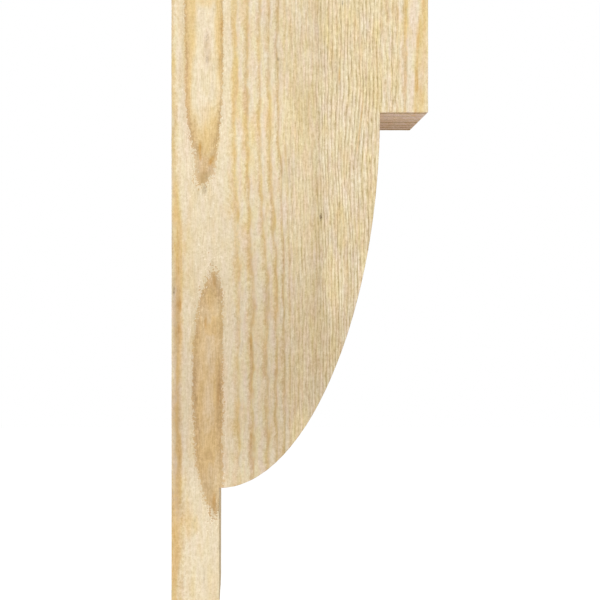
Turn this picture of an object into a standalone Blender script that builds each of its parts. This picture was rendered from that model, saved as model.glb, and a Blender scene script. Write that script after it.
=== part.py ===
"""A timber corbel bracket, sawn in one piece from a rough softwood block.

Units are metres and +Z is up. +X points out from the wall, and the thickness runs along Y.
The origin is the middle of the flat back that goes against the wall.
"""

import math

import bmesh
import bpy
from mathutils import Vector
from mathutils.geometry import interpolate_bezier

# Driving dimensions
HEIGHT = 0.6096  # up the wall, 24 inches
PROJECTION = 0.2032  # out from the wall, 8 inches
THICKNESS = 0.0889  # side to side, 3 1/2 inches, a dressed 4x timber
BLOCK_HEIGHT = 0.1564  # the square block at the top, which carries the load
NOSE_DEPTH = 0.0381  # how far the block stands out past the belly, 1 1/2 inches
LEG_DEPTH = 0.0381  # the leg that runs down the wall below the belly, 1 1/2 inches
TOE_HEIGHT = 0.0685  # the quarter oval that rounds the foot of the leg into the wall
ARRIS = 0.0010  # the worn edge between two sawn faces

# The belly leaves the block straight down and meets the leg level. Its handles are this share of
# its height and of its width; a true quarter oval would have 0.552.
BELLY_FULLNESS = 0.536
BELLY_STEPS = 48
TOE_STEPS = 16
SHARP = math.radians(30)

# The heights and depths that follow from them
TOP = HEIGHT / 2
FOOT = -HEIGHT / 2
NOTCH = TOP - BLOCK_HEIGHT
BELLY_FRONT = PROJECTION - NOSE_DEPTH
BELLY_END = FOOT + BLOCK_HEIGHT
TOE_TOP = FOOT + TOE_HEIGHT

# Pale, dry softwood
WOOD_COLOUR = (0.75, 0.60, 0.38, 1.0)
WOOD_ROUGHNESS = 0.78


def clear_scene():
    for item in list(bpy.data.objects):
        bpy.data.objects.remove(item, do_unlink=True)


def belly_points():
    """The long curve from the notch down to the leg, both ends included."""
    top = Vector((BELLY_FRONT, NOTCH))
    end = Vector((LEG_DEPTH, BELLY_END))
    down = Vector((0, -BELLY_FULLNESS * (NOTCH - BELLY_END)))
    out = Vector((BELLY_FULLNESS * (BELLY_FRONT - LEG_DEPTH), 0))
    return interpolate_bezier(top, top + down, end + out, end, BELLY_STEPS + 1)


def toe_points():
    """The quarter oval from the leg's front down to the foot of the back, both ends included."""
    quarter = math.pi / 2
    turns = [quarter * step / TOE_STEPS for step in range(TOE_STEPS + 1)]
    return [Vector((LEG_DEPTH * math.cos(t), TOE_TOP - TOE_HEIGHT * math.sin(t))) for t in turns]


def outline():
    """The side view as (X, Z) points, from the back's top corner round by the nose and the toe."""
    block = [Vector((0, TOP)), Vector((PROJECTION, TOP)), Vector((PROJECTION, NOTCH))]
    return block + belly_points() + toe_points()


def soften_outer_edges(bm):
    """Takes the sharpness off the outside edges and leaves the inside corners as the saw left them."""
    outer = [edge for edge in bm.edges if edge.calc_face_angle_signed() > SHARP]
    bmesh.ops.bevel(bm, geom=outer, offset=ARRIS, segments=2, profile=0.5, affect="EDGES")


def corbel_mesh():
    """The outline as a flat face, drawn out through the thickness."""
    bm = bmesh.new()
    corners = [bm.verts.new((point.x, -THICKNESS / 2, point.y)) for point in outline()]
    front = bm.faces.new(corners)
    drawn = bmesh.ops.extrude_face_region(bm, geom=[front])["geom"]
    back_corners = [item for item in drawn if isinstance(item, bmesh.types.BMVert)]
    bmesh.ops.translate(bm, verts=back_corners, vec=(0, THICKNESS, 0))
    bmesh.ops.recalc_face_normals(bm, faces=bm.faces)
    soften_outer_edges(bm)
    mesh = bpy.data.meshes.new("corbel_bracket")
    bm.to_mesh(mesh)
    bm.free()
    return mesh


def timber():
    material = bpy.data.materials.new("timber")
    material.use_nodes = True
    shader = material.node_tree.nodes["Principled BSDF"]
    shader.inputs["Base Color"].default_value = WOOD_COLOUR
    shader.inputs["Roughness"].default_value = WOOD_ROUGHNESS
    shader.inputs["Metallic"].default_value = 0.0
    return material


def build_corbel():
    mesh = corbel_mesh()
    mesh.shade_smooth()
    mesh.set_sharp_from_angle(angle=SHARP)
    mesh.materials.append(timber())
    corbel = bpy.data.objects.new("corbel_bracket", mesh)
    bpy.context.scene.collection.objects.link(corbel)


clear_scene()
build_corbel()
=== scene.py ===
"""A timber corbel bracket of bare rough-sawn softwood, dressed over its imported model.

Lengths are metres unless a name ends in _MM. +X points out from the wall, +Z is up, and the
picture looks along +Y at the front face.
"""

import math

import bpy
import numpy as np
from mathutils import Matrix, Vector, kdtree, noise
from mathutils.geometry import delaunay_2d_cdt, interpolate_bezier


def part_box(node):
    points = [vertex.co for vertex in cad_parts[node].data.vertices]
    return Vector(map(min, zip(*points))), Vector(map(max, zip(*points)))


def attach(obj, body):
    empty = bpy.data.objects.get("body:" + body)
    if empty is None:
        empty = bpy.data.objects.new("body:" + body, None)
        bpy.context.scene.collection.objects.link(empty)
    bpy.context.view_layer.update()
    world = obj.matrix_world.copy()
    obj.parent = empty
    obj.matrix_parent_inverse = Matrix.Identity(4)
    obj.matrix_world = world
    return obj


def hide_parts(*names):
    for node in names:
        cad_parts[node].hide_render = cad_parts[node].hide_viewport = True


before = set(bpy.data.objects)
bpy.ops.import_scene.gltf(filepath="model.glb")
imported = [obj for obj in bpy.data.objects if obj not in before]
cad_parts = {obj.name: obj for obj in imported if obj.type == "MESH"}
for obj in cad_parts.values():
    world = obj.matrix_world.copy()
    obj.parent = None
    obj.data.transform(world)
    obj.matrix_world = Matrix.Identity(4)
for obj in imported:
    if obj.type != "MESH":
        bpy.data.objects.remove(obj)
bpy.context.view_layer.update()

MM = 0.001
NODE = "corbel_bracket"
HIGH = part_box(NODE)[1]

# The bracket's form: its reach, height and thickness as the imported model has them, the rest as the
# solid was modelled
PROJECTION = HIGH.x
TOP = HIGH.z
FOOT = -TOP
SIDE = HIGH.y  # half the thickness
BLOCK_HEIGHT = 0.1564
NOSE_DEPTH = 0.0381
LEG_DEPTH = 0.0381
TOE_HEIGHT = 0.0685
BELLY_FULLNESS = 0.536
NOTCH = TOP - BLOCK_HEIGHT
BELLY_FRONT = PROJECTION - NOSE_DEPTH
BELLY_END = FOOT + BLOCK_HEIGHT
TOE_TOP = FOOT + TOE_HEIGHT
# The front face, the thickness, and the height from which a level face is one of the block's
FRONT_MM = -SIDE / MM
THICKNESS_MM = 2 * SIDE / MM
BLOCK_FROM_MM = NOTCH / MM - 3

# How finely the surface is built, and how worn its corners and arrises are
GRID = 1.6 * MM
GRID_CLEARANCE = 0.55 * GRID
DEPTH_STEP = 2.6 * MM
TOE_STEPS = 64
BELLY_STEPS = 256
MERGE_DISTANCE = 1e-7
CORNER_RADIUS = 0.8 * MM
CORNER_STEPS = 4
ARRIS_STEPS = 3
ARRIS_MEAN_MM = 0.55
ARRIS_RANGE_MM = (0.25, 0.77)  # always less than CORNER_RADIUS
SMOOTH_UNDER = math.radians(50)

# Where the pieces of the unrolled surface lie, in metres on a square sheet
SHEET = 0.618
GAP = 0.004
FACES_WIDTH = 0.297
STRIP_PLACES = [(GAP + FACES_WIDTH + GAP + strip * (2 * SIDE + GAP), GAP) for strip in range(3)]

# The growth rings lie round a pith that runs up behind the back. The front face cuts the rings
# nearly flat, so they open there into long ovals about a middle line: its height and place out
PITH_DEPTH_MM = 110.0
MIDDLE_LINE_MM = (
    (-235, 25.4), (-205, 26.0), (-175, 28.2), (-145, 29.0), (18, 29.0), (78, 27.0), (125, 25.8),
)
# Where each ring ends on the front face: its distance out from the middle line, and its number
RING_ENDS_MM = (
    (0, 0.15), (14.6, 1), (24.5, 2), (34, 3), (43.5, 4), (51.1, 5), (58.6, 6), (64.1, 7), (72.1, 9),
    (98.2, 19), (117.2, 26), (136, 32), (139.5, 33), (144.3, 34), (149, 35), (152.2, 36), (158.5, 37),
    (220, 38),
)
INNER_RING_MM = 3.6
# The rings dip away from the front and come back along the timber: at which heights, by how many
# square millimetres of their radius squared, and how far from the middle line and how deep that reaches
DIPS_MM = (
    (-200, 290), (-168, 213), (-157, 185), (-147, 170), (-134, 147), (-111, 138), (-76, 110), (-40, 130),
    (-20, 127), (0, 157), (18, 200), (22, 215), (57, 270), (89, 225), (92, 212), (96, 203), (102, 188),
    (108, 177), (119, 168), (139, 95), (160, 20), (182, 0),
)
DIP_WIDTH_MM = 20.0
DIP_DEPTH_MM = 30.0
# Rings 4 and 5 lean outward on their way down: at which heights by how much
WIDE_LEAN_MM = ((0, 3.2), (140, 0.0))
# the narrow ones below the nose lean inward
NARROW_LEAN_MM = ((108, -2.8), (165, 2.8))
# and the ovals' ends turn outward, but for the very tip of the upper one, which turns in
OVAL_TURN_MM = (
    (-190, 7.5), (-168, 7.0), (-155, 5.4), (-135, 2.2), (-111, 0.0), (-40, 0.0), (-20, 2.0), (22, 5.5),
    (70, 0.0), (88, -3.0), (94, -2.6), (102, -0.3), (108, 1.0), (119, 1.8), (139, 1.2), (165, 0.0),
)
# How far out from the middle line each of these is strongest, and how wide it reaches
LEANS_MM = ((WIDE_LEAN_MM, 50.0, 13.0), (NARROW_LEAN_MM, 122.0, 14.0), (OVAL_TURN_MM, 0.0, 15.0))

# Smooth noise, each layer by its height, its clouds' sizes along X, Y and Z in millimetres, and its
# seed: the rings sway, their widths vary, the surface waves and is torn, and the arrises wear
SWAY_MM = ((0.9, (16, 40, 85), 0), (0.9, (8, 20, 28), 9))
UNEVENNESS = ((0.5, (9, 9, 90), 3), (0.25, (5, 5, 45), 5))
UNEVENNESS_BY_RING = ((6, 0), (10, 1), (31, 1), (35, 0.15))
SURFACE_MM = ((0.05, (28, 28, 40), 11), (0.07, (3.6, 3.6, 13), 13))
WEAR_MM = ((0.4, (35, 1, 35), 0), (0.32, (6, 1, 6), 5))

# What the saws left, in single layers of the same kind: lines across the sawn edges, with crumbs,
SAW_LINES = (1.0, (3.2, 1, 3.2), 0)
SAW_CRUMBS = (0.6, (1, 1, 1), 2)
# lines along the block's ends, the first of them painted shade just behind the front arris, with how
# deep behind the front face and how strong each one is,
END_LINES_AND_ARRIS_SHADE_MM = (
    (4.0, 4.5), (18.0, 1.4), (36.0, 1.2), (48.0, 4.5), (61.5, 3.4), (73.0, 3.8), (84.5, 5.5),
)
END_LINE_WIDTH_MM = 2.8
END_GROUND = (0.4, (60, 5.0, 60), 6)
# and faint chatter on the two faces, only where the first of its noises is high
CHATTER_PLACES = (1.0, (22, 22, 16), 21)
CHATTER_OVER = 0.12
CHATTER_LINES = (1.8, (30, 30, 1.9), 8)

# The relief: how far the surface lies under its flat, and how far a ring and a saw mark raise it
RELIEF_MM = 0.17
RIDGE_MM = 0.09
SAW_MARK_MM = 0.05
# How a ring rises over its width, and by how much from ring to ring
RIDGE_SHAPE = ((0.3, 0), (0.9, 1), (1.0, 0))
RIDGE_BY_RING = ((8, 1), (12, 0.3))
# How strongly the fibres' cut ends show: under the block at its front, lower down, and on top.
# Above the least, the number paints shade on faces that look down, under the block deepening towards the
# back
END_GRAIN_LEAST = 0.25
END_GRAIN_AND_SHADE_BELOW = 0.8
END_GRAIN_ABOVE = 0.7 * END_GRAIN_LEAST
# A surface faces along an axis where that part of its normal is more than this
FACING = 0.7

# The colour is a little darker and warmer in the middle of the lower half
SHADE_BY_HEIGHT_MM = (
    (-200, 0.0), (-175, 0.1), (-150, 0.35), (-126, 0.8), (-95, 1.0), (-48, 1.0), (16, 0.78), (47, 0.5),
    (79, 0.33), (110, 0.1), (140, 0.0),
)
SHADE_PLACE_MM = 88.0
SHADE_WIDTH_MM = 50.0
SHADE_LEAST = 0.4
# and along one streak
DARK_STREAK_PLACE_MM = 115.7
DARK_STREAK_WIDTH_MM = 4.5
DARK_STREAK_SHADE = 0.42

# Soft-edged places on the front face where the wood looks different: place across and up, half
# width, half height, strength. The first ones are darker
DARKER_PLACES_MM = (
    # along the back: at its very edge painted shade on the arris together with darker wood, further in a
    # darker band of the wood
    (0.0, 150.0, 2.0, 190.0, 0.35), (0.9, 128.0, 2.0, 42.0, 0.5), (0.0, 45.0, 1.8, 24.0, 0.9),
    (1.6, 8.0, 2.0, 16.0, 0.75), (3.6, -20.0, 3.0, 45.0, 0.6), (4.4, -105.0, 4.6, 60.0, 0.6),
    (4.6, -147.0, 4.0, 16.0, 0.35), (6.8, -159.0, 4.5, 14.0, 0.4), (0.0, -159.0, 1.8, 16.0, 0.8),
    (0.0, -160.0, 1.8, 130.0, 0.2),
    # in the ovals and beside them
    (9.5, 190.0, 3.2, 60.0, 0.3), (27.0, 105.0, 8.0, 8.0, 0.15), (25.6, 98.0, 4.6, 5.0, 0.5),
    (12.0, -75.0, 5.0, 60.0, 0.22), (18.5, -60.0, 2.6, 70.0, 0.35), (28.8, -78.0, 6.5, 72.0, 0.24),
    (36.8, -78.0, 2.6, 34.0, 0.4), (29.8, -141.0, 5.0, 14.0, 0.5),
    # among the rings
    (57.0, 215.0, 16.0, 55.0, 0.14), (93.0, 215.0, 26.0, 55.0, 0.36), (130.0, 172.0, 5.0, 17.0, 0.35),
    (104.5, 158.0, 9.0, 26.0, 0.5), (93.0, 104.0, 6.0, 17.0, 0.4),
)
PALER_PLACES_MM = (
    (137.0, 90.0, 6.0, 16.0, 0.3), (151.5, 20.0, 6.0, 18.0, 0.5), (129.0, 14.0, 9.0, 28.0, 0.45),
    (102.0, -104.0, 7.0, 18.0, 0.5),
)
GOLDEN_PLACES_MM = (
    # along the back
    (4.0, 45.0, 3.6, 45.0, 0.9), (6.1, 1.0, 2.8, 13.0, 1.1), (5.2, -20.0, 4.0, 60.0, 0.5),
    (6.1, -28.0, 2.8, 9.0, 1.05), (4.4, -100.0, 4.4, 60.0, 0.25), (6.3, -118.0, 2.6, 16.0, 1.05),
    (5.5, -147.0, 3.6, 18.0, 0.5), (1.6, -205.0, 3.0, 75.0, 0.95), (14.0, -171.0, 5.5, 16.0, 0.4),
    (19.5, -177.0, 2.4, 8.0, 0.6),
    # in the upper oval
    (27.5, 240.0, 10.0, 10.0, 0.8), (15.6, 240.0, 4.4, 70.0, 0.75), (36.8, 220.0, 3.4, 26.0, 0.5),
    (13.4, 185.0, 3.8, 38.0, 0.7), (26.5, 135.0, 11.0, 20.0, 0.5), (22.6, 122.0, 1.9, 7.0, 0.5),
    (31.4, 110.5, 2.9, 5.0, 0.5),
    # in the lower oval
    (33.5, -20.0, 2.0, 8.0, 0.9), (30.0, -23.0, 3.8, 6.0, 0.6), (28.8, -78.0, 11.0, 82.0, 0.2),
    (36.8, -78.0, 2.6, 34.0, 0.8), (30.0, -122.5, 4.8, 5.0, 1.0),
    # among the rings
    (50.5, 172.0, 3.6, 52.0, 0.6), (104.5, 158.0, 9.0, 26.0, 0.25), (78.0, 139.0, 4.0, 18.0, 0.6),
    (66.0, 135.5, 4.6, 15.0, 0.7), (134.0, 58.0, 5.0, 18.0, 0.5), (82.0, -3.0, 4.0, 18.0, 0.6),
    # at the nose
    (199.0, 238.0, 1.6, 22.0, 0.8), (196.6, 212.0, 1.6, 20.0, 0.8), (194.8, 196.0, 1.5, 20.0, 0.95),
    (193.5, 176.0, 1.5, 22.0, 1.1), (192.6, 154.0, 1.4, 18.0, 0.95), (200.0, 232.0, 2.9, 32.0, 0.75),
    (198.0, 192.0, 4.2, 34.0, 0.7), (196.2, 158.0, 4.6, 30.0, 0.7),
)
PINK_PLACES_MM = (
    (12.4, 150.0, 2.0, 45.0, 0.7), (5.0, -20.0, 3.6, 45.0, 0.9), (4.4, -105.0, 4.6, 60.0, 0.8),
    (4.0, -178.0, 2.6, 30.0, 0.9), (28.3, 200.0, 2.8, 15.0, 0.7), (27.0, 107.0, 5.0, 6.0, 1.0),
    (30.5, -9.0, 5.0, 12.0, 1.0), (28.8, -78.0, 11.0, 82.0, 0.5), (41.5, -105.0, 4.0, 60.0, 0.3),
    (31.0, -134.0, 6.0, 8.0, 1.0), (190.5, 222.0, 3.0, 25.0, 0.9),
)
# Over which share of its half width such a place fades out, and over which depth into the timber
PLACE_FADE = (0.6, 1.25)
PLACE_DEPTH_MM = (2, 20)

# Specks of bark and pitch on the front face, dark or faint: place across and up, half width, half
# height, how far each leans per millimetre up, strength
SPECKS_MM = (
    (28.4, 208.5, 1.4, 4.5, 0.0, 0.16), (28.2, 200.0, 2.8, 15.0, 0.0, 0.1),
    (28.4, 190.5, 1.4, 3.2, 0.0, 0.2), (26.3, 87.5, 1.8, 4.2, 0.0, 0.28),
    (2.0, 7.5, 0.9, 4.0, 0.05, 0.4), (18.7, -174.0, 0.7, 1.6, 0.0, 0.25),
    (25.8, -219.0, 0.6, 9.0, 0.0, 0.15), (135.3, 235.5, 0.8, 2.5, 0.0, 0.45),
    (84.4, 190.8, 1.0, 1.8, 0.0, 0.3), (118.2, 66.0, 1.1, 2.9, 0.05, 0.85),
    (117.0, -8.6, 0.7, 1.6, 0.0, 0.25),
)
# Thin streaks of resin there, in the same columns
RESIN_STREAKS_MM = (
    # along the back and in the ovals
    (6.6, -4.0, 1.6, 7.0, 0.0, 0.4), (6.6, -22.5, 1.5, 6.0, 0.0, 0.5),
    (39.8, 217.0, 1.3, 8.0, 0.0, 0.5), (38.8, 190.0, 1.1, 9.0, 0.0, 0.3),
    (22.4, 120.5, 1.5, 5.0, 0.1, 0.9), (22.9, 113.5, 1.3, 3.5, 0.0, 0.6),
    (31.4, 110.5, 2.0, 4.5, 0.45, 0.85), (34.0, 16.5, 1.5, 7.0, -0.1, 0.6),
    (27.0, -16.6, 1.2, 5.5, 0.0, 0.6), (37.2, -72.0, 1.2, 14.0, 0.05, 0.4),
    (33.8, -160.5, 1.6, 8.5, 0.0, 0.7),
    # among the rings and at the nose
    (52.7, 66.8, 1.2, 6.0, 0.0, 0.5), (62.9, -33.0, 1.1, 7.0, 0.0, 0.5),
    (62.9, -110.5, 1.1, 7.0, 0.0, 0.6), (132.8, 177.8, 0.9, 8.0, 0.0, 0.6),
    (148.8, 135.0, 0.9, 22.0, 0.12, 0.6), (194.2, 174.0, 1.1, 15.0, 0.0, 0.5),
)
# From which to which distance off its middle, in half widths, such a mark grows to its full strength,
# how much the noises break it up, and from and to which depth it fades out
MARK_FADE = (1.4, 0.3)
MARK_BROKEN = 3.0
MARK_FULL_MM = 1
MARK_GONE_MM = 2

# The picture: 600 pixels square, one point of it straight ahead of the lens
PICTURE = 600
PIXELS_PER_METRE = 1265.5
WALL_LINE_PX = 171.3
MIDDLE_HEIGHT_PX = 300.5
VANISHING_PX = (239.0, 300.0)
CAMERA_DISTANCE = 0.837
SENSOR_MM = 36.0


def linear(*colour):
    """A colour as a screen shows it, 0 to 255, in the light's own scale."""
    parts = [part / 255 for part in colour]
    return [part / 12.92 if part <= 0.04045 else ((part + 0.055) / 1.055) ** 2.4 for part in parts]


# The wood between the rings' lines, the gold of wide rings and the yellow of close ones
CREAM = linear(247, 232, 201)
GOLD = linear(240, 212, 156)
LEMON = linear(241, 216, 155)
# the lines of wide rings, of the ovals and of close rings, and wood that is soaked with resin
LATE_LINE = linear(205, 168, 113)
TAN = linear(213, 182, 131)
CLOSE_LINE = linear(192, 169, 123)
RESINOUS = linear(215, 176, 108)
SPECK = linear(112, 88, 58)
# By what a colour is multiplied: in tinted and darker places, at the ovals' rims, where fibres are
# cut across, with painted shade on faces that look down, deepest behind, and in a streak of resin
YELLOWER = (1.0, 0.995, 0.88)
PINKER = (1.0, 0.945, 0.98)
DARKER = (0.76, 0.73, 0.71)
OVAL_RIM = (0.89, 0.86, 0.87)
END_GRAIN = (0.87, 0.80, 0.945)
# painted shade on faces that look down, deepest under the block towards the back
DOWNWARD_PAINTED_SHADE = (0.745, 0.66, 0.60)
AMBER = (0.81, 0.64, 0.36)
# Where a grain is lighter, its green and its blue change more than its red
LIGHTENING = (1.0, 1.16, 1.65)

# The noises that break up the sawn surface: their clouds' sizes along X, Y and Z
GRAINS_MM = (2.6, 2.6, 3.0)
FIBRES_MM = (0.9, 0.9, 9.0)
STREAKS_MM = (1.5, 1.5, 30.0)
WANDER_MM = (5.0, 5.0, 15.0)
WARMTH_MM = (8.0, 8.0, 26.0)
TINTS_MM = (4.0, 4.0, 20.0)
CRUMBS_MM = (1.0, 1.0, 1.3)
# Some are read in other places than the rest, so that they don't coincide
CRUMBS_MOVED = (20, 20, 20)
BLUSH_MOVED = (40, 40, 40)
YELLOW_MOVED = (70, 70, 70)
# The noise by which a ring's line fades along it is read so far apart in X from ring to ring
FADING_SIZES = (1.0, 50.0, 40.0)
RINGS_APART = 7.3
FADING = 3.0

# The looks change from one of these ring numbers to the other: at the ovals' edges, where the tints
# get patchier, where the lines turn faint and strong again, and where the wood gets fibrous and wavy
OVAL_EDGE = (1.0, 1.6)
PATCHY_FROM = (1.2, 2.2)
FAINT_FROM = (5.6, 7.0)
FAINT_UNTIL = (14.0, 18.0)
FIBROUS_FROM = (25.0, 31.0)
WAVY_FROM = (32.0, 34.0)
# or from so many rings in a millimetre to so many: from wide rings to close ones, from a ring that
# ends sharply to one that falls off, and from weak lines to strong ones
CLOSE_PER_MM = (0.1, 0.25)
FALLS_PER_MM = (0.0, 0.12)
STRONG_PER_MM = (0.1, 0.3)

# How many millimetres the rings stray with each noise, where they are wide and where they are close
STRAY_BY_GRAINS_MM = (2.6, 0.7)
STRAY_BY_FIBRES_MM = (0.6, 1.0)
STRAY_BY_WANDER_MM = (6.0, 1.8)
WAVY_STRAY_MM = 3.0
# In the ovals they are so much calmer, but the ovals' rims fray: between which ring numbers that
# starts and ends, by how many rings before it and in it, and which share of it is left beyond
CALMER = 0.75
FRAYED_FROM = (0.8, 0.95)
FRAYED_UNTIL = (1.1, 1.4)
FRAYS = (0.07, 0.34)
FRAYS_BEYOND = 0.2

# Over which share of its width a ring falls off, where it can first turn golden, how much later that
# may be by chance and where it is fully so, and where its line and an oval's rim start
FALLS_OFF = (0.01, 0.28)
GOLD_FIRST = 0.1
GOLD_LATER = 0.4
GOLD_FULL = 0.8
LINE_FROM = 0.6
LINE_LATER = 0.15
RIM_FROM = (0.79, 0.91)
# How strong the weakest and the strongest lines are, where rings are wide and where they are close,
# and how much stronger lines are in the ovals
WEAKEST_LINE = (0.1, 0.48)
STRONGEST_LINE = (0.5, 0.7)
OVAL_LINE = 0.3 * CALMER
# By what that is multiplied up to the faint rings, and in those at two heights
WIDE_LINE = 1.2
FAINT_HEIGHTS_MM = (165.0, 95.0)
FAINT_LINE = (0.2, 0.46)
# How much fibres break the close lines, how much weaker lines are where fibres are cut across, and
# how much of a line's colour the strongest one takes on
LINE_BREAKS = 2.5
LINE_LESS_ACROSS = 0.75
LINE_COLOUR = 0.85

# How golden the wood is: by its ring where rings are wide and close, by the warmth, and where rings
# are close or faint, there with the streaks and with less of the warmth
RING_GOLD = (0.7, 0.2)
WARMTH_GOLD = 1.8
CLOSE_GOLD = 0.25
STREAKS_GOLD = 0.5
FAINT_GOLD = 0.06
FAINT_LESS_WARMTH = 0.9
# From which to which amount of resin the wood is soaked, and how much the fibres add to that
SOAKED = (0.8, 1.5)
SOAKED_BY_FIBRES = 2.0
# The least share of a tint where it isn't patchy, between which noise values each tint turns on, and
# how much shows of the yellow, where rings are wide and close, of the pink places and of the rims
LEAST_TINT = 0.32
YELLOW_RANGE = (-0.15, 0.15)
BLUSH_RANGE = (-0.13, 0.17)
YELLOW_SHOWS = (1.0, 0.6)
PINK_PLACES_SHOW = 1.5
RIM_SHOWS = 0.75

# How much lighter each noise and the saw marks, with the painted shade behind the block's front arris,
# make the wood; pairs are for wide and close rings
GRAINS_LIGHTEN = 0.62
FIBRES_LIGHTEN = (0.15, 0.65)
SAW_MARKS_AND_ARRIS_SHADE_LIGHTEN = 0.09
CLOSE_STREAKS_LIGHTEN = 0.2
FIBROUS_LIGHTEN = 0.3
OVAL_FIBRES_LIGHTEN = 0.35
OVAL_WANDER_LIGHTEN = 0.2
OVAL_LESS_GRAINS = 0.15
# Pale fuzz where the crumbs are between these values, more of it in a band that starts, is full and
# ends at these ring numbers, just beside the ovals' rims
FUZZ_RANGE = (0.08, 0.26)
FUZZ_LIGHTENS = 0.08
RIM_FUZZ_LIGHTENS = 0.2
RIM_FUZZ_FROM = (0.99, 1.0)
RIM_FUZZ_UNTIL = (1.12, 1.0)

# The surface's roughness, less along the lines, and the fine bump's heights
ROUGHNESS = 0.88
LINES_SMOOTHER = 0.12
GRAINS_ROUGHER = 0.2
SPECULAR = 0.3
BUMP_STRENGTH = 0.7
BUMP_DISTANCE = 0.5 * MM
GRAINS_HEIGHT = 0.8
FIBRES_HEIGHT = (0.35, 0.9)
LINES_HEIGHT = (0.1, 0.5)


# The outline

def direction(vector):
    return vector / np.linalg.norm(vector)


def walk(points, spacing, trim_start=0.0, trim_end=0.0):
    """The same path with evenly spaced points, its last one left out for the next path to start on."""
    points = np.array(points, dtype=float)
    lengths = np.linalg.norm(np.diff(points, axis=0), axis=1)
    along = np.concatenate(([0.0], np.cumsum(lengths)))
    start, end = trim_start, along[-1] - trim_end
    steps = max(1, round((end - start) / spacing))
    at = np.linspace(start, end, steps + 1)[:-1]
    return np.stack([np.interp(at, along, points[:, axis]) for axis in (0, 1)], axis=1)


def rounded(corner, before, after):
    """A worn outside corner: a small arc from the path that comes in to the path that goes out."""
    corner = np.array(corner)
    way_in, way_out = direction(corner - before), direction(np.array(after) - corner)
    turns = np.linspace(0, math.pi / 2, CORNER_STEPS + 1)[:-1]
    arc = [
        corner
        - way_in * CORNER_RADIUS * (1 - math.sin(turn))
        + way_out * CORNER_RADIUS * (1 - math.cos(turn))
        for turn in turns
    ]
    return np.array(arc)


def toe_curve():
    """The quarter oval from the foot of the back out and up to the leg's front."""
    turns = np.linspace(math.pi / 2, 0, TOE_STEPS + 1)
    return [(LEG_DEPTH * math.cos(turn), TOE_TOP - TOE_HEIGHT * math.sin(turn)) for turn in turns]


def belly_curve():
    """From the leg out and up to the notch."""
    end, top = Vector((LEG_DEPTH, BELLY_END)), Vector((BELLY_FRONT, NOTCH))
    out = Vector((BELLY_FULLNESS * (BELLY_FRONT - LEG_DEPTH), 0))
    down = Vector((0, -BELLY_FULLNESS * (NOTCH - BELLY_END)))
    points = interpolate_bezier(end, end + out, top + down, top, BELLY_STEPS + 1)
    return [tuple(point) for point in points]


def outline():
    """(X, Z) points round the side view, counter-clockwise from the foot, and where its three
    unrolled strips start: the toe, the underside of the nose, and the back."""
    foot, toe = (0, FOOT), toe_curve()
    leg = [(LEG_DEPTH, TOE_TOP), (LEG_DEPTH, BELLY_END)]
    notch, nose = (BELLY_FRONT, NOTCH), (PROJECTION, NOTCH)
    top_front, top_back = (PROJECTION, TOP), (0, TOP)
    worn = CORNER_RADIUS
    parts = [
        walk(toe, GRID, trim_start=worn),
        walk(leg, GRID),
        walk(belly_curve(), GRID),
        walk([notch, nose], GRID, trim_end=worn),
        rounded(nose, notch, top_front),
        walk([nose, top_front], GRID, trim_start=worn, trim_end=worn),
        rounded(top_front, nose, top_back),
        walk([top_front, top_back], GRID, trim_start=worn, trim_end=worn),
        rounded(top_back, top_front, foot),
        walk([top_back, foot], GRID, trim_start=worn, trim_end=worn),
        rounded(foot, top_back, (LEG_DEPTH, FOOT)),
    ]
    counts = np.cumsum([len(part) for part in parts])
    return np.concatenate(parts), [0, int(counts[2]), int(counts[8])]


def outward(points):
    """Outward normals of a counter-clockwise outline, longer at corners so that an inset stays even."""
    edges = np.roll(points, -1, axis=0) - points
    edges /= np.linalg.norm(edges, axis=1)[:, None]
    after = np.stack([edges[:, 1], -edges[:, 0]], axis=1)
    before = np.roll(after, 1, axis=0)
    return (before + after) / (1 + (before * after).sum(axis=1))[:, None]


# What grows, fades and was sawn, and the painted shade on faces that look down, worked out point by
# point in millimetres

def cloud(points, height, sizes, seed):
    """Smooth noise about zero, mostly within 0.7 of its height."""
    read_at = points / np.array(sizes) + seed
    return height * np.array([noise.noise(Vector(place)) for place in read_at])


def layered(points, layers):
    return sum(cloud(points, *layer) for layer in layers)


def between(value, knots):
    return np.interp(value, *zip(*knots))


def bell(value, middle, width):
    """1 at the middle, falling off smoothly to both sides."""
    return np.exp(-(((value - middle) / width) ** 2))


def growth_at(points, normals):
    """Each point's ring number, counted out from the front face's middle line, and how many rings
    the surface crosses there in a millimetre."""
    x, y, z = points.T
    depth = y - FRONT_MM
    out = x - between(z, MIDDLE_LINE_MM) + layered(points, SWAY_MM)
    for heights, place, width in LEANS_MM:
        out -= between(z, heights) * bell(out, place, width)
    to_pith = PITH_DEPTH_MM - depth
    dip = between(z, DIPS_MM) * bell(out, 0, DIP_WIDTH_MM) * bell(depth, 0, DIP_DEPTH_MM)
    radius = np.sqrt(np.maximum(out**2 + to_pith**2 + dip, 1))
    ends = [(math.hypot(PITH_DEPTH_MM, place), count) for place, count in RING_ENDS_MM]
    number = between(radius, ends) + np.minimum(radius - PITH_DEPTH_MM, 0) / INNER_RING_MM
    uneven = layered(points, UNEVENNESS) * between(np.abs(number), UNEVENNESS_BY_RING)
    per_mm = between(radius + 0.5, ends) - between(radius - 0.5, ends)
    per_mm = np.where(radius < PITH_DEPTH_MM, 1 / INNER_RING_MM, per_mm)
    head_on = (normals[:, 0] * out - normals[:, 1] * to_pith) / np.hypot(out, to_pith)
    return number + uneven, per_mm * np.sqrt(np.clip(1 - head_on**2, 0, 1))


def strength_at(points, places):
    """How strongly each point lies in the strongest of the places listed for the front face."""
    x, y, z = points.T
    total = np.zeros(len(points))
    for across, up, half_width, half_height, strength in places:
        distance = np.hypot((x - across) / half_width, (z - up) / half_height)
        total = np.maximum(total, strength * np.interp(distance, PLACE_FADE, (1, 0)))
    return total * np.interp(y - FRONT_MM, PLACE_DEPTH_MM, (1, 0))


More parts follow.
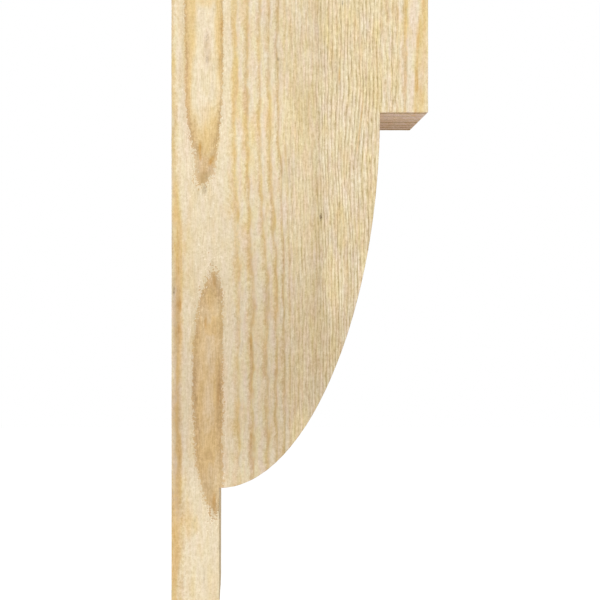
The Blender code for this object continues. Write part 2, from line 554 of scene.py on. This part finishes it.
def shade_at(points):
    x, y, z = points.T
    side_to_side = SHADE_LEAST + (1 - SHADE_LEAST) * bell(x, SHADE_PLACE_MM, SHADE_WIDTH_MM)
    streak = DARK_STREAK_SHADE * bell(x, DARK_STREAK_PLACE_MM, DARK_STREAK_WIDTH_MM)
    shade = between(z, SHADE_BY_HEIGHT_MM) * side_to_side + streak
    # the darker places at the back's very edge are partly painted shade on its arris
    return shade + strength_at(points, DARKER_PLACES_MM) - strength_at(points, PALER_PLACES_MM)


def saw_marks_at(points, normals):
    """How high the saws left each point, on the sawn edges, the block's two ends and the faces; on the
    block's ends the first line, just behind the front arris, is painted shade.
    """
    x, y, z = points.T
    same_through = np.stack([x, np.zeros(len(points)), z], axis=1)
    on_edge = cloud(same_through, *SAW_LINES) + cloud(points, *SAW_CRUMBS)
    depth = y - FRONT_MM
    on_end = cloud(points, *END_GROUND)
    for line, strength in END_LINES_AND_ARRIS_SHADE_MM:
        on_end -= strength * bell(depth, line, END_LINE_WIDTH_MM)
    chatter = np.clip(cloud(points, *CHATTER_PLACES) - CHATTER_OVER, 0, 1)
    on_face = chatter * cloud(points, *CHATTER_LINES)
    is_face = np.abs(normals[:, 1]) > FACING
    is_block_end = (np.abs(normals[:, 2]) > FACING) & (z > BLOCK_FROM_MM)
    return np.where(is_face, on_face, np.where(is_block_end, on_end, on_edge))


def end_grain_and_shade_at(points, normals):
    """How far the fibres are cut across, up to END_GRAIN_LEAST, and beyond that painted shade on faces
    that look down, reaching 1 under the block at the back.
    """
    depth = points[:, 1] - FRONT_MM
    under_block = np.interp(depth, (0, THICKNESS_MM), (END_GRAIN_LEAST, 1))
    below = np.where(points[:, 2] > BLOCK_FROM_MM, under_block, END_GRAIN_AND_SHADE_BELOW)
    return normals[:, 2] ** 2 * np.where(normals[:, 2] > 0, END_GRAIN_ABOVE, below)


def ridge(growth):
    """How far a ring's hard outer part stands up, 0 to 1; the narrow rings are too fine to show it."""
    return between(growth - np.floor(growth), RIDGE_SHAPE) * between(growth, RIDGE_BY_RING)


def relief_at(points, growth, marks):
    """How far the sawn surface lies under its flat, in millimetres."""
    uneven = layered(points, SURFACE_MM)
    return np.clip(RELIEF_MM + uneven - RIDGE_MM * ridge(growth) - SAW_MARK_MM * marks, 0, 1)


def wear_along(points, seed):
    """The arris radius in metres at each outline point: a slow change, with a few knocked spots."""
    places = np.insert(points / MM, 1, seed, axis=1)
    return np.clip(ARRIS_MEAN_MM + layered(places, WEAR_MM), *ARRIS_RANGE_MM) * MM


# The mesh

def fill(edge_points, normals):
    """Triangles over a face: its edge points and a square grid inside them."""
    tree = kdtree.KDTree(len(edge_points))
    for number, (x, z) in enumerate(edge_points):
        tree.insert((x, z, 0), number)
    tree.balance()
    inside = []
    for x in np.arange(GRID / 2, PROJECTION, GRID):
        for z in np.arange(FOOT + GRID / 2, TOP, GRID):
            near, number, _ = tree.find((x, z, 0))
            step = np.array((x - near.x, z - near.y))
            if step @ normals[number] < -GRID_CLEARANCE:
                inside.append((x, z))
    points = [Vector(point) for point in [*edge_points, *inside]]
    rim = list(range(len(edge_points)))
    filled = delaunay_2d_cdt(points, [], [rim], 0, MERGE_DISTANCE, True)
    _, _, triangles, sources, _, within = filled
    faces = [
        [sources[corner][0] for corner in triangle]
        for triangle, holders in zip(triangles, within)
        if holders
    ]
    return np.array(inside), faces


class Shell:
    """Collects the points, normals, faces and UV places of the closed surface."""

    def __init__(self):
        self.points, self.normals, self.faces, self.places = [], [], [], []

    def add_points(self, points, normals):
        first = len(self.points)
        self.points += [tuple(point) for point in points]
        self.normals += [tuple(normal) for normal in normals]
        return np.arange(first, first + len(points))

    def add_face(self, corners, places):
        self.faces.append([int(corner) for corner in corners])
        self.places += [tuple(place) for place in places]


def edge_rows(shell, edge, normals):
    """Rows of points round the bracket from the front face over its arris, across and onto the back."""
    unit = normals / np.linalg.norm(normals, axis=1)[:, None]

    def on_arris(side, turn, radius):
        """turn is 0 on the sawn edge's side and 90 degrees on the face."""
        inset = edge - normals * (radius * (1 - math.cos(turn)))[:, None]
        depth = side * (SIDE - radius * (1 - math.sin(turn)))
        points = np.stack([inset[:, 0], depth, inset[:, 1]], axis=1)
        turned = np.insert(unit * math.cos(turn), 1, side * math.sin(turn), axis=1)
        return shell.add_points(points, turned)

    turns = [math.pi / 2 * step / ARRIS_STEPS for step in range(ARRIS_STEPS + 1)]
    front_wear, back_wear = wear_along(edge, seed=3.0), wear_along(edge, seed=17.0)
    rows = [on_arris(-1, turn, front_wear) for turn in reversed(turns)]
    levels = round(2 * SIDE / DEPTH_STEP)
    for share in np.arange(1, levels) / levels:
        depth = (1 - share) * (front_wear - SIDE) + share * (SIDE - back_wear)
        points = np.stack([edge[:, 0], depth, edge[:, 1]], axis=1)
        rows.append(shell.add_points(points, np.insert(unit, 1, 0, axis=1)))
    return rows + [on_arris(1, turn, back_wear) for turn in turns]


def add_strips(shell, edge, rows, strip_starts):
    """The sawn edges, as faces between the rows, unrolled into three strips beside the two faces."""
    count = len(edge)
    steps = np.linalg.norm(np.roll(edge, -1, axis=0) - edge, axis=1)
    around = np.concatenate(([0.0], np.cumsum(steps)))
    across = np.linspace(0, 2 * SIDE, len(rows))
    strip_ends = [*strip_starts[1:], count]
    for corner, start, end in zip(STRIP_PLACES, strip_starts, strip_ends):
        for number in range(start, end):
            after = (number + 1) % count
            low, high = corner[1] + around[[number, number + 1]] - around[start]
            for level in range(len(rows) - 1):
                near, far = rows[level], rows[level + 1]
                left, right = corner[0] + across[[level, level + 1]]
                corners = (near[number], near[after], far[after], far[number])
                shell.add_face(corners, ((left, low), (left, high), (right, high), (right, low)))


def face_place(point, side):
    """The front face stands upright on the sheet, and the back one is turned to nest beside it."""
    if side < 0:
        return GAP + point[0], GAP + point[1] - FOOT
    return GAP + FACES_WIDTH - point[0], GAP + TOP - point[1]


def add_side_face(shell, rim, normals, side):
    flat = np.array([(shell.points[number][0], shell.points[number][2]) for number in rim])
    inside, faces = fill(flat, normals)
    points = np.insert(inside, 1, side * SIDE, axis=1)
    middle = shell.add_points(points, np.tile((0, side, 0), (len(inside), 1)))
    numbers = np.concatenate([rim, middle])
    places = np.concatenate([flat, inside])
    for face in faces:
        order = face if side < 0 else face[::-1]
        shell.add_face(numbers[order], [face_place(places[corner], side) for corner in order])


def timber_mesh():
    edge, strip_starts = outline()
    normals = outward(edge)
    shell = Shell()
    rows = edge_rows(shell, edge, normals)
    add_strips(shell, edge, rows, strip_starts)
    add_side_face(shell, rows[0], normals, -1)
    add_side_face(shell, rows[-1], normals, 1)

    points, normals = np.array(shell.points), np.array(shell.normals)
    places = points / MM
    growth, crossed = growth_at(places, normals)
    marks = saw_marks_at(places, normals)
    points -= normals * relief_at(places, growth, marks)[:, None] * MM
    mesh = bpy.data.meshes.new("timber")
    mesh.from_pydata(points.tolist(), [], shell.faces)
    sheet = mesh.uv_layers.new(name="OFBake")
    sheet.data.foreach_set("uv", (np.array(shell.places) / SHEET).ravel())
    for name, values in (
        ("growth", growth),
        ("crossed", crossed),
        ("resin", strength_at(places, GOLDEN_PLACES_MM)),
        ("pink", strength_at(places, PINK_PLACES_MM)),
        ("shade", shade_at(places)),
        ("saw_marks", marks),
        ("end_grain_and_shade", end_grain_and_shade_at(places, normals)),
    ):
        mesh.attributes.new(name, "FLOAT", "POINT").data.foreach_set("value", values)
    mesh.shade_smooth()
    mesh.set_sharp_from_angle(angle=SMOOTH_UNDER)
    return mesh


# The material's tools

class Amount:
    """A value that varies over the wood: a shader socket that formulas use like a number."""

    tree = None

    def __init__(self, socket):
        self.socket = socket

    def __add__(self, other):
        if isinstance(other, tuple):
            return reckon_vector("ADD", self, other)
        return reckon("ADD", self, other)

    def __sub__(self, other):
        return reckon("SUBTRACT", self, other)

    def __rsub__(self, other):
        return reckon("SUBTRACT", other, self)

    def __mul__(self, other):
        return reckon("MULTIPLY", self, other)

    __radd__ = __add__
    __rmul__ = __mul__


def plug(socket, value):
    if isinstance(value, Amount):
        Amount.tree.links.new(value.socket, socket)
    else:
        socket.default_value = value


def add_node(kind, inputs=(), **settings):
    made = Amount.tree.nodes.new(kind)
    for name, value in settings.items():
        setattr(made, name, value)
    for name, value in dict(inputs).items():
        plug(made.inputs[name], value)
    return made


def reckon(operation, *terms):
    made = add_node("ShaderNodeMath", dict(enumerate(terms)), operation=operation)
    return Amount(made.outputs[0])


def reckon_vector(operation, *terms):
    made = add_node("ShaderNodeVectorMath", dict(enumerate(terms)), operation=operation)
    return Amount(made.outputs[0])


def ramp(value, start, end, low=0.0, high=1.0, kind="LINEAR"):
    """low up to start, high from end on, and a change between them."""
    inputs = {"Value": value, "From Min": start, "From Max": end, "To Min": low, "To Max": high}
    return Amount(add_node("ShaderNodeMapRange", inputs, interpolation_type=kind).outputs["Result"])


def soft_ramp(value, start, end, low=0.0, high=1.0):
    return ramp(value, start, end, low, high, kind="SMOOTHSTEP")


def stored(name):
    return Amount(add_node("ShaderNodeAttribute", attribute_name=name).outputs["Fac"])


def spots(place, sizes, detail=2.0, roughness=0.5):
    """Cloudy noise about zero, mostly within 0.2. sizes are its clouds' along X, Y and Z."""
    read_at = reckon_vector("DIVIDE", place, sizes)
    inputs = {"Vector": read_at, "Scale": 1.0, "Detail": detail, "Roughness": roughness}
    return Amount(add_node("ShaderNodeTexNoise", inputs).outputs[0]) - 0.5


def chance(number, seed):
    """A number from 0 to 1 of its own for each whole number."""
    made = add_node("ShaderNodeTexWhiteNoise", {"W": number + seed}, noise_dimensions="1D")
    return Amount(made.outputs["Value"])


def mix_colours(amount, first, second):
    """The first colour where amount is 0, the second where it is 1."""
    made = add_node("ShaderNodeMix", data_type="RGBA")
    # Its sockets for numbers, vectors and colours share their names, so they are told by number
    share, first_colour, second_colour = made.inputs[0], made.inputs[6], made.inputs[7]
    plug(share, amount)
    for socket, colour in ((first_colour, first), (second_colour, second)):
        plug(socket, colour if isinstance(colour, Amount) else (*colour, 1.0))
    return Amount(made.outputs[2])


def multiplied(colour, amount, factors):
    """The colour, multiplied by the factors where amount is 1."""
    return mix_colours(amount, colour, reckon_vector("MULTIPLY", colour, factors))


def scaled(colour, amount):
    made = add_node("ShaderNodeVectorMath", {0: colour}, operation="SCALE")
    plug(made.inputs["Scale"], amount)
    return Amount(made.outputs[0])


# The softwood

class Surface:
    """What the wood's formulas share at each point: its place in millimetres, what the mesh stores
    there, and the noises that break up the sawn surface."""

    def __init__(self):
        coordinates = Amount(add_node("ShaderNodeTexCoord").outputs["Object"])
        self.place = reckon_vector("MULTIPLY", coordinates, (1 / MM, 1 / MM, 1 / MM))
        axes = add_node("ShaderNodeSeparateXYZ", {0: self.place}).outputs
        self.x, self.y, self.z = (Amount(axes[name]) for name in ("X", "Y", "Z"))
        self.growth, self.crossed = stored("growth"), stored("crossed")
        self.shade, self.resin, self.pink = stored("shade"), stored("resin"), stored("pink")
        self.saw_marks, self.end_grain_and_shade = stored("saw_marks"), stored("end_grain_and_shade")
        self.grains = spots(self.place, GRAINS_MM, roughness=0.8)
        self.fibres = spots(self.place, FIBRES_MM, roughness=0.6)
        self.streaks = spots(self.place, STREAKS_MM)
        self.wander = spots(self.place, WANDER_MM)
        self.warmth = spots(self.place, WARMTH_MM, detail=3.0)
        self.crumbs = spots(self.place + CRUMBS_MOVED, CRUMBS_MM, detail=1.0)
        self.close = ramp(self.crossed, *CLOSE_PER_MM)
        self.in_oval = ramp(self.growth, *OVAL_EDGE, 1.0, 0.0)
        before_strong = ramp(self.growth, *FAINT_UNTIL, 1.0, 0.0)
        self.in_faint_rings = ramp(self.growth, *FAINT_FROM) * before_strong
        self.cut_across = ramp(self.end_grain_and_shade, 0.0, END_GRAIN_LEAST)

    def by_width(self, wide, close):
        """The first number where the rings are wide, the second where they are close."""
        return ramp(self.close, 0.0, 1.0, wide, close)


class Ring:
    """The ring that each point lies in: how golden and how dark it is there, from 0 to 1."""

    def __init__(self, wood):
        calm = 1.0 - wood.in_oval * CALMER
        fall = ramp(wood.crossed, *FALLS_PER_MM, *FALLS_OFF) * calm
        by_grains = wood.grains * wood.by_width(*STRAY_BY_GRAINS_MM)
        by_fibres = wood.fibres * wood.by_width(*STRAY_BY_FIBRES_MM)
        wavy = wood.by_width(*STRAY_BY_WANDER_MM) + ramp(wood.growth, *WAVY_FROM, 0.0, WAVY_STRAY_MM)
        strayed = by_grains + by_fibres + wood.wander * calm * wavy
        beyond_rim = ramp(wood.growth, *FRAYED_UNTIL, 1.0, FRAYS_BEYOND)
        frayed = wood.grains * ramp(wood.growth, *FRAYED_FROM, *FRAYS) * beyond_rim
        self.torn = wood.growth - fall - strayed * wood.crossed - frayed
        self.number = reckon("FLOOR", self.torn)

        # It turns golden and then darker along its outer side, and pales off again
        share = self.torn - self.number
        falls_off = soft_ramp(share, 1.0, 1.0 - fall)
        gold_from = chance(self.number, seed=0.13) * GOLD_LATER + GOLD_FIRST
        self.gold = soft_ramp(share, gold_from, GOLD_FULL) * falls_off
        along = add_node("ShaderNodeCombineXYZ", {0: self.number * RINGS_APART, 1: wood.y, 2: wood.z})
        self.fading = spots(Amount(along.outputs[0]), FADING_SIZES) * FADING
        line_from = LINE_FROM - fall - self.fading * LINE_LATER
        line = soft_ramp(share, line_from, 1.0 - fall) * falls_off
        unbroken = 1.0 - wood.fibres * wood.close * LINE_BREAKS
        not_across = 1.0 - wood.cut_across * LINE_LESS_ACROSS
        self.line = line * self.line_strength(wood) * unbroken * not_across
        self.rim = soft_ramp(share, *RIM_FROM) * falls_off * wood.in_oval

    def line_strength(self, wood):
        weakest = ramp(wood.crossed, *STRONG_PER_MM, *WEAKEST_LINE)
        strongest = ramp(wood.crossed, *STRONG_PER_MM, *STRONGEST_LINE)
        drawn = chance(self.number, seed=0.71) + self.fading
        by_chance = ramp(drawn, 0.0, 1.0, weakest, strongest)
        faint = ramp(wood.z, *FAINT_HEIGHTS_MM, *FAINT_LINE)
        up_to_faint = ramp(wood.growth, *FAINT_FROM, WIDE_LINE, faint)
        by_ring = ramp(wood.growth, *FAINT_UNTIL, up_to_faint, 1.0)
        return (by_chance + wood.in_oval * OVAL_LINE) * by_ring


def ring_colour(wood, ring):
    """From cream through gold to the rings' lines, and over them the places soaked with resin."""
    golden = ring.gold * wood.by_width(*RING_GOLD) + wood.warmth * WARMTH_GOLD
    golden = golden + wood.close * (CLOSE_GOLD - wood.streaks * STREAKS_GOLD) + wood.resin
    golden = golden + wood.in_faint_rings * (FAINT_GOLD - wood.warmth * FAINT_LESS_WARMTH)
    colour = mix_colours(golden, CREAM, mix_colours(wood.close, GOLD, LEMON))
    line = mix_colours(wood.in_oval, mix_colours(wood.close, LATE_LINE, CLOSE_LINE), TAN)
    colour = mix_colours(ring.line * LINE_COLOUR, colour, line)
    soaked = ramp(wood.resin + wood.fibres * SOAKED_BY_FIBRES + wood.warmth, *SOAKED)
    return mix_colours(soaked, colour, mix_colours(wood.in_oval, RESINOUS, TAN))


def tinted(colour, wood, ring):
    """Yellower, pinker and darker from place to place, at the ovals' rims, where cut across, and with
    painted shade on faces that look down.
    """
    least = ramp(wood.growth, *PATCHY_FROM, LEAST_TINT, 0.0)
    blush_noise = spots(wood.place + BLUSH_MOVED, TINTS_MM, detail=1.0)
    yellow_noise = spots(wood.place + YELLOW_MOVED, TINTS_MM, detail=1.0)
    blush = soft_ramp(blush_noise, *BLUSH_RANGE, least, 1.0 - least)
    yellow = soft_ramp(yellow_noise, *YELLOW_RANGE, least, 1.0 - least)
    for amount, factors in (
        (yellow * wood.by_width(*YELLOW_SHOWS), YELLOWER),
        (blush + wood.pink * PINK_PLACES_SHOW, PINKER),
        (wood.shade, DARKER),
        (ring.rim * (RIM_SHOWS + ring.fading), OVAL_RIM),
        (wood.cut_across, END_GRAIN),
        # painted shade on faces that look down, deepening towards the back under the block
        (ramp(wood.end_grain_and_shade, END_GRAIN_LEAST, 1.0), DOWNWARD_PAINTED_SHADE),
    ):
        colour = multiplied(colour, amount, factors)
    return colour


def sawn(colour, wood, ring):
    """Lighter and darker with the grains and fibres of the sawn surface."""
    ribs = wood.fibres * (wood.by_width(*FIBRES_LIGHTEN) + wood.in_oval * OVAL_FIBRES_LIGHTEN)
    lighter = wood.grains * GRAINS_LIGHTEN + ribs + wood.streaks * wood.close * CLOSE_STREAKS_LIGHTEN
    lighter = lighter + wood.wander * wood.in_oval * OVAL_WANDER_LIGHTEN
    # the saw marks make it lighter and darker, and the painted shade behind the block's front arris
    # makes it darker
    lighter = lighter + wood.saw_marks * SAW_MARKS_AND_ARRIS_SHADE_LIGHTEN
    beside_rim = ramp(ring.torn, *RIM_FUZZ_UNTIL) * ramp(ring.torn, *RIM_FUZZ_FROM)
    fuzz = soft_ramp(wood.crumbs, *FUZZ_RANGE)
    lighter = lighter + fuzz * (beside_rim * RIM_FUZZ_LIGHTENS + FUZZ_LIGHTENS)
    lighter = lighter - wood.grains * wood.in_oval * OVAL_LESS_GRAINS
    lighter = lighter + wood.fibres * ramp(wood.growth, *FIBROUS_FROM, 0.0, FIBROUS_LIGHTEN)
    return reckon_vector("MULTIPLY", colour, scaled(LIGHTENING, lighter) + (1.0, 1.0, 1.0))


def small_mark(wood, across, up, half_width, half_height, lean, strength):
    """The strength on one small speck or streak, softly falling to 0 round it."""
    upward = wood.z - up
    sideways = (wood.x - across - upward * lean) * (1 / half_width)
    upward = upward * (1 / half_height)
    distance = reckon("SQRT", sideways * sideways + upward * upward)
    return soft_ramp(distance, *MARK_FADE, 0.0, strength)


def marked(colour, wood):
    """The streaks of resin and the specks, on the front face alone."""
    on_front = ramp(wood.y, FRONT_MM + MARK_GONE_MM, FRONT_MM + MARK_FULL_MM)
    specks = sum(small_mark(wood, *measures) for measures in SPECKS_MM) * on_front
    resin = sum(small_mark(wood, *measures) for measures in RESIN_STREAKS_MM) * on_front
    colour = multiplied(colour, resin * (1.0 + wood.fibres * MARK_BROKEN), AMBER)
    return mix_colours(specks * (1.0 + wood.crumbs * MARK_BROKEN), colour, SPECK)


def softwood():
    material = bpy.data.materials.new("sawn_softwood")
    material.use_nodes = True
    Amount.tree = material.node_tree
    shader = material.node_tree.nodes["Principled BSDF"]
    wood = Surface()
    ring = Ring(wood)
    colour = tinted(ring_colour(wood, ring), wood, ring)
    colour = marked(sawn(colour, wood, ring), wood)
    plug(shader.inputs["Base Color"], colour)
    roughness = ROUGHNESS - ring.line * LINES_SMOOTHER + wood.grains * GRAINS_ROUGHER
    plug(shader.inputs["Roughness"], roughness)
    shader.inputs["Specular IOR Level"].default_value = SPECULAR
    height = wood.grains * GRAINS_HEIGHT + wood.fibres * wood.by_width(*FIBRES_HEIGHT)
    height = height + ring.line * wood.by_width(*LINES_HEIGHT)
    inputs = {"Strength": BUMP_STRENGTH, "Distance": BUMP_DISTANCE, "Height": height}
    plug(shader.inputs["Normal"], Amount(add_node("ShaderNodeBump", inputs).outputs[0]))
    return material


def add_object(name, data):
    made = bpy.data.objects.new(name, data)
    bpy.context.scene.collection.objects.link(made)
    return made


timber = add_object("rough_sawn_timber", timber_mesh())
timber.data.materials.append(softwood())
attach(timber, "root")
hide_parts(NODE)

# Camera
camera_data = bpy.data.cameras.new("camera")
camera_data.sensor_width = SENSOR_MM
camera_data.lens = SENSOR_MM * PIXELS_PER_METRE * CAMERA_DISTANCE / PICTURE
camera_data.shift_x = (PICTURE / 2 - VANISHING_PX[0]) / PICTURE
camera_data.shift_y = (VANISHING_PX[1] - PICTURE / 2) / PICTURE
camera = add_object("camera", camera_data)
camera.location = (
    (VANISHING_PX[0] - WALL_LINE_PX) / PIXELS_PER_METRE,
    -SIDE - CAMERA_DISTANCE,
    (MIDDLE_HEIGHT_PX - VANISHING_PX[1]) / PIXELS_PER_METRE,
)
camera.rotation_euler = (math.pi / 2, 0, 0)
bpy.context.scene.camera = camera

# The floor: pale, wide, and well below the bracket, which hangs on a wall
FLOOR_DROP = 0.65
FLOOR_REACH = 7.0
FLOOR_GLOW = 0.66
FLOOR_COLOUR = (0.9, 0.9, 0.9, 1.0)
WHITE = (1.0, 1.0, 1.0, 1.0)


def pale_floor():
    low, reach = FOOT - FLOOR_DROP, FLOOR_REACH
    mesh = bpy.data.meshes.new("floor")
    corners = [(-reach, -reach, low), (reach, -reach, low), (reach, reach, low), (-reach, reach, low)]
    mesh.from_pydata(corners, [], [(0, 1, 2, 3)])
    material = bpy.data.materials.new("pale_floor")
    material.use_nodes = True
    shader = material.node_tree.nodes["Principled BSDF"]
    shader.inputs["Base Color"].default_value = FLOOR_COLOUR
    shader.inputs["Roughness"].default_value = 1.0
    shader.inputs["Specular IOR Level"].default_value = 0.0
    shader.inputs["Emission Color"].default_value = WHITE
    shader.inputs["Emission Strength"].default_value = FLOOR_GLOW
    mesh.materials.append(material)
    floor = add_object("floor", mesh)
    floor.visible_diffuse = False
    floor.visible_glossy = False
    return floor


pale_floor()


# The studio: a white surround, brighter from below as over a white floor, and one large soft light
# in front, up and to the left
SURROUND_ABOVE = 0.42
SURROUND_BELOW = 0.85
HORIZON_SPREAD = 0.4
SOFTBOX_PLACE = (-1.6, -2.6, 1.1)
SOFTBOX_SIZE = 1.8
SOFTBOX_WATTS = 46.0


def white_surround():
    world = bpy.data.worlds.new("studio")
    world.use_nodes = True
    Amount.tree = world.node_tree
    background = world.node_tree.nodes["Background"]
    background.inputs["Color"].default_value = WHITE
    direction_seen = Amount(add_node("ShaderNodeTexCoord").outputs["Generated"])
    upward = Amount(add_node("ShaderNodeSeparateXYZ", {0: direction_seen}).outputs["Z"])
    seen = Amount(add_node("ShaderNodeLightPath").outputs["Is Camera Ray"])
    lit = soft_ramp(upward, -HORIZON_SPREAD, HORIZON_SPREAD, SURROUND_BELOW, SURROUND_ABOVE)
    plug(background.inputs["Strength"], reckon("MAXIMUM", lit, seen))
    bpy.context.scene.world = world


def softbox():
    data = bpy.data.lights.new("softbox", "AREA")
    data.size = SOFTBOX_SIZE
    data.energy = SOFTBOX_WATTS
    light = add_object("softbox", data)
    light.location = SOFTBOX_PLACE
    aim = Vector((PROJECTION / 2, 0, 0)) - light.location
    light.rotation_euler = aim.to_track_quat("-Z", "Y").to_euler()


white_surround()
softbox()
bpy.context.scene.view_settings.view_transform = "Standard"
